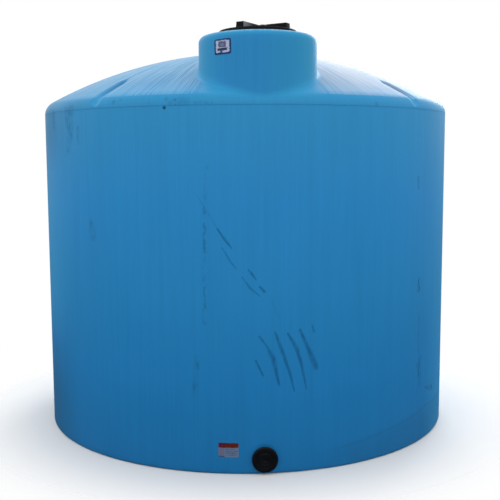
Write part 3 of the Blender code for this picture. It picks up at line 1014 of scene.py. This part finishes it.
def dots(finish, place, spots):
    """The strongest of all round spots at a place on the wall."""
    total = 0.0
    for strength, spot in spots:
        run, height, radius = metres(spot)
        away = finish.measure("DISTANCE", place, (run, height, 1.0))
        total = finish.math("MAXIMUM", total, away.fading(radius * 0.1, radius * 1.2, strength, soft=True))
    return total


# Colour of the plastic by height, with painted shade: darker towards the bottom of the wall, where less light
# fell, and the shades of the shoulder and dome painted in too
BLUE_WITH_SHADE_BY_HEIGHT = (
    (0.00, paint(15, 96, 147)),
    (0.45, paint(28, 118, 176)),
    (0.90, paint(37, 131, 189)),
    (1.35, paint(42, 138, 200)),
    (1.82, paint(50, 147, 201)),
    (1.86, paint(38, 134, 181)),
    (1.90, paint(26, 126, 175)),
    (1.95, paint(20, 114, 162)),
    (2.18, paint(20, 112, 158)),
)
NECK_COLOURS = ((1.85, paint(48, 139, 197)), (2.18, paint(48, 139, 197)))
# Painted light: the neck's sides, where more light fell
NECK_LIT_SIDES = paint(50, 150, 190)
# Painted light and shade: the neck's foot and top edge as the light fell on them, and the neck's painted
# shadow in front of it
NECK_LIGHT_AND_SHADOW_BLUE = paint(42, 136, 181)
# Painted light: the wall's sides, where more light fell
LIT_SIDE_BLUE = paint(60, 172, 222)
# Painted shade on the far left of the wall and shoulder
LEFT_SHADE_BLUE = paint(6, 76, 104)
# Painted shade deep in the cable grooves
GROOVE_SHADE_BLUE = paint(18, 56, 76)
# The pale coat: dust, with painted glare that is whiter and greyer on the right
DUST_AND_SHEEN_LEFT = paint(166, 195, 211)
DUST_AND_GLARE_RIGHT = paint(182, 186, 194)
SCRAPED = paint(4, 70, 112)
STAINED = paint(16, 64, 98)
# Painted shadow line along the seam
SEAM_SHADOW_BLUE = paint(22, 78, 118)
FOOT_DIRT = paint(24, 66, 84)

# Pitch and length of the lines that run up the wall and over the dome: fine, middling and broad
WALL_LINES = ((0.009, 0.45), (0.024, 0.90), (0.085, 1.40))
DOME_LINES = ((0.0065, 0.16), (0.015, 0.30), (0.060, 1.00))

SHADE_STRENGTH = 0.022
LINE_DEPTH = 0.0006
GRAIN_DEPTH = 0.0003


class MouldedBlue(Finish):
    """Moulded blue plastic: the places, lines and clouds that its layers share, and the layers."""

    def __init__(self, name, centre, radius, pitches):
        super().__init__(name)
        self.here = self.place()
        self.x, self.y, self.z = self.split(self.here)
        self.off_x, off_y, _ = self.split(self.place(centre))
        flat = self.packed(self.off_x, off_y)
        along = self.z + self.measure("LENGTH", flat)
        heading = self.vector("NORMALIZE", flat)
        self.fine, self.middling, self.broad = (
            self.drawn_lines(heading, along, radius / pitch, length) for pitch, length in pitches)
        self.cloud = self.noise(self.here, 2.6, 4.0, 0.6)
        self.grain = self.noise(self.here, 210.0, 2.0)
        self.facing = self.split(self.normal())[2]
        self.axis_distance = self.measure("LENGTH", self.packed(self.x, self.y))
        squared = DOME_RADIUS ** 2 - self.math("POWER", self.axis_distance, 2.0)
        self.depth = self.math("SQRT", squared) + DOME_CENTRE_HEIGHT - self.z
        self.run = self.math("ARCTAN2", self.x, self.y * -1.0) * TANK_RADIUS
        self.neck_shadow = self.neck_shadow_strip()

    def drawn_lines(self, heading, along, number, length):
        """Noise drawn out into lines along the mould's draw."""
        x, y, _ = self.split(self.scaled(heading, number))
        return self.noise(self.packed(x, y, along / length), 1.0, 2.0)

    def neck_shadow_strip(self):
        """Painted shadow: the strip in front of the neck, where the neck's shadow falls."""
        return (abs(self.x).fading(0.25, 0.33) * self.y.fading(-1.02, -0.88)
                * self.z.fading(1.93, 1.97) * self.z.ranged(1.845, 1.88))

    def coloured_by_height(self, colours):
        ramp = self.tree.nodes.new("ShaderNodeValToRGB")
        stops = ramp.color_ramp.elements
        for index, (level, colour) in enumerate(colours):
            stop = stops[index] if index < 2 else stops.new(1.0)
            stop.position = min(1.0, level / CROWN_HEIGHT)
            stop.color = colour
        self.join(self.z / CROWN_HEIGHT, ramp.inputs[0])
        return Reading(self, ramp.outputs[0])

    def clean(self, colours):
        """The plastic's colour by height as given, which on the wall and dome carries painted shade, a little
        lighter and darker along the lines and in clouds.
        """
        shade = (self.middling.ranged(0.3, 0.7, -0.9, 0.9) + self.broad.ranged(0.3, 0.7, -0.7, 0.7)
                 + self.fine.ranged(0.3, 0.7, -1.0, 1.0) + self.cloud.ranged(0.35, 0.65, -0.5, 0.5))
        light = self.math("MULTIPLY_ADD", shade, SHADE_STRENGTH, 1.0)
        return self.mixed(1.0, self.coloured_by_height(colours), self.packed(light, light, light), "MULTIPLY")

    def dust(self):
        """How thick the pale coat lies, which is dust and painted light: on what faces up, streaked by the
        rain, with painted glare that grows towards the right and painted shade where it is left out of the
        grooves.
        """
        x, z, depth, facing = self.x, self.z, self.depth, self.facing
        streaks = (self.middling.ranged(0.34, 0.66, 0.0, 0.40) + self.fine.ranged(0.34, 0.66, 0.0, 0.60)
                   + x.ranged(0.1, 0.5, 0.0, 0.20))
        # Towards the crown, where the streaks come together, the dust is even
        streaks = streaks + (0.55 - streaks) * self.axis_distance.fading(0.05, 0.75, 0.9, soft=True)
        # Painted glare: more coat on faces that turn up, and more towards the right
        thickness_and_glare = facing.ranged(0.86, 0.93, 0.42, 1.08) * x.ranged(0.0, 0.45, 1.1, 1.8)
        # Painted glare on the upper flank of the right-hand grooves
        right_groove_glare = (depth.ranged(0.0008, 0.002) * depth.fading(0.006, 0.009)
                     * (x.ranged(0.3, 0.5) * z.ranged(1.93, 1.96)))
        # Painted sunlight: only slopes that face up enough get the coat
        sunlit_faces = facing.ranged(0.67, 0.73).greater(right_groove_glare)
        # Painted shade: the coat is kept out of the grooves, though it reaches deeper on the right
        groove_shade_depth = depth - x.ranged(-0.2, 0.2, 0.0, 0.006)
        dust_and_glare = (sunlit_faces * streaks.ranged(0.25, 0.75, 0.07, 0.44) * groove_shade_depth.fading(0.003, 0.007)
                 * (1.0 - self.neck_shadow))
        return self.math("MULTIPLY", dust_and_glare, thickness_and_glare, clamp=True)

    def neck_light_and_shade(self, colour):
        # Painted light: lighter, greener sides where more light fell, and the foot blend and top edge tinted
        # by how they face the light
        lit_neck_sides = self.off_x.ranged(-0.02, 0.24, 0.0, 0.8).greater(self.off_x.ranged(-0.17, -0.29, 0.0, 0.8))
        colour = self.mixed(lit_neck_sides, colour, NECK_LIT_SIDES)
        return self.mixed(self.facing.ranged(0.05, 0.45, soft=True), colour, NECK_LIGHT_AND_SHADOW_BLUE)

    def neck_shadow_and_groove_shade(self, colour):
        # Painted shadow of the neck on the strip in front of it
        colour = self.mixed(self.neck_shadow, colour, NECK_LIGHT_AND_SHADOW_BLUE)
        # Painted shade deep in the grooves, strongest in the right-hand ones
        dark_groove_depth = self.depth + self.x.ranged(-0.2, 0.2, 0.0, 0.004)
        groove_shade = (dark_groove_depth.ranged(0.008, 0.013) * self.z.ranged(1.885, 1.92)
                * self.x.ranged(-0.2, 0.2, 0.35, 0.85))
        return self.mixed(groove_shade, colour, GROOVE_SHADE_BLUE)

    def with_dust_and_glare(self, colour, dust_and_glare):
        # The pale coat is dust with painted glare, whiter and greyer towards the right
        return self.mixed(dust_and_glare, colour, self.mixed(self.x.ranged(0.0, 0.4), DUST_AND_SHEEN_LEFT, DUST_AND_GLARE_RIGHT))

    def ragged(self, around_scale, up_scale, low, high):
        """Noise in drips, which makes a mark's edge ragged."""
        place = self.packed(self.run * around_scale, self.z * up_scale)
        return self.noise(place, 1.0, 3.0, 0.6).ranged(low, high)

    def marks(self):
        """How much of a scrape, and of a stain or a spot, lies at a place."""
        on_wall = self.packed(self.run, self.z, 1.0)
        stretched = self.vector("MULTIPLY", self.here, (1.0, 1.0, 0.45))
        broken = self.noise(stretched, 95.0, 3.0, 0.6).ranged(0.30, 0.58, 0.45, 1.0)
        scrape = strokes(self, on_wall, SCRAPES) * broken
        stain = strokes(self, on_wall, STAINS) * self.ragged(80.0, 24.0, 0.38, 0.60)
        stain = stain.greater(strokes(self, on_wall, SPOTTED) * self.ragged(60.0, 28.0, 0.46, 0.62))
        stain = stain.greater(dots(self, on_wall, SPOTS) * self.grain.ranged(0.38, 0.60, 0.55, 1.0))
        return scrape, stain

    def side_light_and_shade(self, colour, before_back):
        """Painted light and shade: the sides a little lighter, where more light fell, and the far left darker
        low down, high up and at the foot of the shoulder, where it lay in shade.
        """
        run, z = self.run, self.z
        left = run.ranged(-1.12, -1.50) * abs(z - 1.08).fading(0.25, 0.55)
        lit_sides = left.greater(run.ranged(1.05, 1.45)) * before_back * z.fading(1.83, 1.90)
        colour = self.mixed(lit_sides * 0.32, colour, LIT_SIDE_BLUE)
        ends = z.fading(0.25, 0.60, 0.42).greater(z.ranged(1.50, 1.70, 0.0, 0.30))
        ends = ends * z.fading(1.91, 1.94) * before_back
        far = run.ranged(-1.12, -1.45).greater(run.ranged(-0.85, -1.15, 0.0, 0.55) * z.ranged(1.826, 1.840))
        return self.mixed(far * ends, colour, LEFT_SHADE_BLUE)

    def seam_shadow(self):
        # Painted shadow line along the seam, uneven, fading out towards the sides
        seam = abs(self.z - SEAM_HEIGHT).fading(0.002, 0.007, 0.15)
        return seam * self.broad.ranged(0.35, 0.65, 0.4, 1.0) * abs(self.run).fading(1.05, 1.30)

    def foot_dirt(self, before_back):
        """A darker band along the foot, and soil up to a slanting tide line on the right."""
        foot = self.z.fading(0.0, 0.03, 0.45) * self.broad.ranged(0.35, 0.65)
        tide = self.z - self.run.ranged(0.30, 1.10, 0.088, 0.182)
        soil = abs(tide).fading(0.002, 0.014, 0.26).greater(tide.fading(-0.03, 0.03, 0.16))
        soil = soil * self.run.ranged(0.25, 0.50) * before_back * self.cloud.ranged(0.40, 0.60, 0.45, 1.0)
        return foot.greater(soil)

    def finished(self, colour, dust_and_glare, worn, gloss):
        rough = self.cloud.ranged(0.3, 0.7, 0.40, 0.50) + worn * 0.25
        rough = self.math("MULTIPLY_ADD", dust_and_glare, 0.25, rough)
        surface = self.bumped(self.fine * 0.35 + self.middling, LINE_DEPTH)
        surface = self.bumped(self.grain, GRAIN_DEPTH, under=surface)
        return self.set(Base_Color=colour, Roughness=rough, Normal=surface, Specular_IOR_Level=gloss)


def tank_blue(name, pitches):
    """Blue plastic of the wall and the dome."""
    blue = MouldedBlue(name, TANK_AXIS, TANK_RADIUS, pitches)
    # Pale coat of dust and painted glare
    dust_and_glare = blue.dust()
    colour = blue.with_dust_and_glare(blue.neck_shadow_and_groove_shade(blue.clean(BLUE_WITH_SHADE_BY_HEIGHT)), dust_and_glare)
    scrape, stain = blue.marks()
    # What depends on the way round ends before the back, where its sign changes
    before_back = blue.y.fading(0.1, 0.8)
    # Painted light and shade on the sides
    colour = blue.side_light_and_shade(colour, before_back)
    colour = blue.mixed(scrape * 0.82, colour, SCRAPED)
    colour = blue.mixed(stain * 0.66, colour, STAINED)
    # Painted shadow along the seam
    colour = blue.mixed(blue.seam_shadow(), colour, SEAM_SHADOW_BLUE)
    colour = blue.mixed(blue.foot_dirt(before_back), colour, FOOT_DIRT)
    return blue.finished(colour, dust_and_glare, blue.math("ADD", scrape, stain, clamp=True), gloss=0.13)


def neck_blue():
    blue = MouldedBlue("moulded_blue_neck", NECK_AXIS, NECK_RADIUS, WALL_LINES)
    dust_and_glare = blue.dust()
    colour = blue.with_dust_and_glare(blue.neck_light_and_shade(blue.clean(NECK_COLOURS)), dust_and_glare)
    return blue.finished(colour, dust_and_glare, worn=0.0, gloss=0.07)


def black_moulded():
    """Black plastic with a fine moulded grain, a little dust on what faces up, and a painted highlight on the
    side of one bar's end.
    """
    finish = Finish("black_moulded_plastic")
    place = finish.place()
    cloud = finish.noise(place, 24.0, 4.0, 0.6)
    grain = finish.noise(place, 900.0, 2.0)
    facing = finish.split(finish.normal())[2]
    dust = facing.ranged(0.4, 1.0, 0.0, 0.16) * cloud.ranged(0.35, 0.7)
    colour = finish.mixed(cloud.ranged(0.3, 0.7), paint(2, 3, 7), paint(7, 9, 15))
    colour = finish.mixed(dust, colour, paint(96, 100, 104))
    along = around(1.0, GRIP_AZIMUTH, 0.0)
    sideways = around(1.0, GRIP_AZIMUTH + math.pi / 2, 0.0)
    # Painted highlight: the side face of one grip bar, where it faced the light, painted grey near its end
    highlight_centre = NECK_AXIS + along * 0.165 + sideways * GRIP_WIDTH / 2 + Vector((0.0, 0.0, GRIP_TOP - 0.008))
    towards = finish.measure("DOT_PRODUCT", finish.normal(), tuple(sideways))
    away = finish.measure("LENGTH", finish.place(tuple(highlight_centre)))
    painted_highlight = towards.ranged(0.7, 0.9) * away.fading(0.02, 0.085, 0.75)
    colour = finish.mixed(painted_highlight, colour, paint(128, 132, 142))
    return finish.set(Base_Color=colour, Roughness=cloud.ranged(0.3, 0.7, 0.42, 0.58),
                      Normal=finish.bumped(grain, 0.00012), Specular_IOR_Level=0.12)


def black_rubber():
    finish = Finish("black_rubber_seal")
    place = finish.place()
    cloud = finish.noise(place, 40.0, 3.0)
    colour = finish.mixed(cloud, paint(14, 14, 15), paint(30, 30, 31))
    return finish.set(Base_Color=colour, Roughness=cloud.ranged(0.3, 0.7, 0.68, 0.82),
                      Normal=finish.bumped(finish.noise(place, 700.0, 2.0), 0.0001))


def box_mask(u, v, left, right, low, high):
    """One inside a rectangle of the label, nought outside."""
    edge = 0.012
    return (u.ranged(left - edge, left + edge) * u.fading(right - edge, right + edge)
            * v.ranged(low - edge, low + edge) * v.fading(high - edge, high + edge))


def printed_film(name, field, areas, most_faded):
    """Faded printed film: a plain field with plain blocks and bars, no words."""
    finish = Finish(name)
    flat = finish.node("ShaderNodeUVMap", uv_map="label")
    ragged = finish.node("ShaderNodeTexNoise", {"Vector": flat, "Scale": 11.0, "Detail": 2.0}, 1)
    ragged = finish.scaled(finish.vector("SUBTRACT", ragged, (0.5, 0.5, 0.5)), 0.16)
    u, v, _ = finish.split(finish.vector("ADD", flat, ragged))
    place = finish.place()
    cloud = finish.noise(place, 120.0, 4.0, 0.65)
    colour = field
    for left, right, low, high, ink in areas:
        colour = finish.mixed(box_mask(u, v, left, right, low, high), colour, ink)
    colour = finish.mixed(cloud.ranged(0.35, 0.75, 0.0, most_faded), colour, paint(84, 104, 130))
    surface = finish.bumped(finish.noise(place, 260.0, 2.0), 0.0002)
    return finish.set(Base_Color=colour, Roughness=cloud.ranged(0.3, 0.7, 0.38, 0.55),
                      Normal=surface, Specular_IOR_Level=0.10)


def foot_label_film():
    areas = [(0.0, 1.0, 0.66, 1.0, paint(82, 18, 2)), (0.0, 0.30, 0.66, 1.0, paint(80, 14, 26)),
             (0.04, 0.27, 0.14, 0.62, paint(94, 90, 112)), (0.0, 0.30, 0.0, 0.10, paint(32, 72, 102))]
    for row in range(4):
        low = 0.14 + 0.13 * row
        areas.append((0.36, 0.92 - 0.09 * (row % 2), low, low + 0.045, paint(58, 76, 98)))
    return printed_film("foot_label_film", paint(88, 104, 130), areas, 0.10)


def neck_label_film():
    areas = [(0.10, 0.91, 0.12, 0.90, paint(188, 192, 220)), (0.26, 0.72, 0.46, 0.84, paint(96, 92, 130)),
             (0.38, 0.58, 0.54, 0.70, paint(104, 132, 146)), (0.18, 0.80, 0.24, 0.42, paint(34, 50, 80)),
             (0.36, 0.52, 0.12, 0.24, paint(40, 78, 124))]
    return printed_film("neck_label_film", paint(4, 46, 100), areas, 0.30)


GROUND_LEVEL = 0.12
SKY_LEVEL = 1.6
FLOOR_FADE_START = 1.25
FLOOR_FADE_END = 1.9

# The camera's place and aim, fitted to the seam, the foot, the sides and the dome
CAMERA_DISTANCE = 5.159
CAMERA_HEIGHT = 1.565
CAMERA_AZIMUTH = math.radians(-4.2)
CAMERA_YAW = math.radians(4.475)
CAMERA_PITCH = math.radians(6.33)
CAMERA_ROLL = math.radians(-0.27)
FOCAL_PIXELS = 821.7
FRAME_PIXELS = 500
SENSOR = 36.0


def pale_floor():
    """Pale floor that fades into the backdrop away from the tank."""
    finish = Finish("pale_floor")
    place = finish.place()
    colour = finish.mixed(finish.noise(place, 0.8, 3.0), (0.60, 0.605, 0.61, 1.0), (0.64, 0.64, 0.645, 1.0))
    far = finish.measure("LENGTH", place).fading(FLOOR_FADE_START, FLOOR_FADE_END, soft=True)
    return finish.set(Base_Color=colour, Roughness=0.9, Alpha=far)


def make_camera():
    data = bpy.data.cameras.new("photo_camera")
    data.sensor_width = SENSOR
    data.lens = SENSOR * FOCAL_PIXELS / FRAME_PIXELS
    data.clip_end = 200.0
    camera = added("photo_camera", data)
    camera.matrix_world = (
        Matrix.Translation(around(CAMERA_DISTANCE, CAMERA_AZIMUTH, CAMERA_HEIGHT))
        @ Matrix.Rotation(-CAMERA_YAW, 4, "Z")
        @ Matrix.Rotation(math.pi / 2 - CAMERA_PITCH, 4, "X")
        @ Matrix.Rotation(CAMERA_ROLL, 4, "Z"))
    bpy.context.scene.camera = camera


def softbox(name, place, target, width, height, power):
    data = bpy.data.lights.new(name, "AREA")
    data.shape = "RECTANGLE"
    data.size = width
    data.size_y = height
    data.energy = power
    light = added(name, data)
    light.location = place
    light.rotation_euler = (Vector(target) - Vector(place)).to_track_quat("-Z", "Y").to_euler()
    light.visible_camera = False


def make_sky():
    """White backdrop for the eye, and for the light a soft sky over dim ground."""
    world = bpy.data.worlds.new("studio")
    world.use_nodes = True
    bpy.context.scene.world = world
    wires = Wiring(world.node_tree)
    wires.tree.nodes.clear()
    up = wires.split(wires.node("ShaderNodeTexCoord", output=0))[2]
    level = up.ranged(-0.12, 0.26, GROUND_LEVEL, SKY_LEVEL, soft=True)
    lighting = wires.node("ShaderNodeBackground", {0: (0.95, 0.98, 1.0, 1.0), 1: level})
    backdrop = wires.node("ShaderNodeBackground", {0: (1.0, 1.0, 1.0, 1.0), 1: 1.0})
    seen = wires.node("ShaderNodeLightPath")
    mixed = wires.node("ShaderNodeMixShader", {0: seen, 1: lighting, 2: backdrop})
    wires.join(mixed, wires.tree.nodes.new("ShaderNodeOutputWorld").inputs[0])


def make_studio():
    shape = bmesh.new()
    bmesh.ops.create_grid(shape, x_segments=1, y_segments=1, size=60.0)
    floor = new_piece("studio_floor", placed(shape, (0.0, 0.0, -0.0005)), pale_floor())
    floor.visible_glossy = False
    make_sky()
    softbox("sun_behind_right", (3.4, 6.8, 4.6), (0.5, -0.4, 1.95), 4.6, 3.0, 400.0)
    bpy.context.scene.view_settings.view_transform = "Standard"


def build():
    make_camera()
    black = black_moulded()
    rubber = black_rubber()
    make_tank_wall(tank_blue("moulded_blue_wall", WALL_LINES))
    make_tank_top(tank_blue("moulded_blue_dome", DOME_LINES), neck_blue())
    make_lid_ring(black)
    make_lid_gasket(rubber)
    make_lid(black)
    make_lid_grip(black)
    make_lid_vent(black)
    make_outlet(black, rubber)
    make_label("foot_label", TANK_AXIS, TANK_RADIUS, math.radians(-8.6), 0.1245, 0.101, 0.074, 0.0, 0.004,
               foot_label_film())
    make_label("neck_label", NECK_AXIS, NECK_RADIUS, math.radians(-39.6), 2.101, 0.099, 0.073,
               math.radians(1.4), 0.008, neck_label_film())
    make_studio()


build()
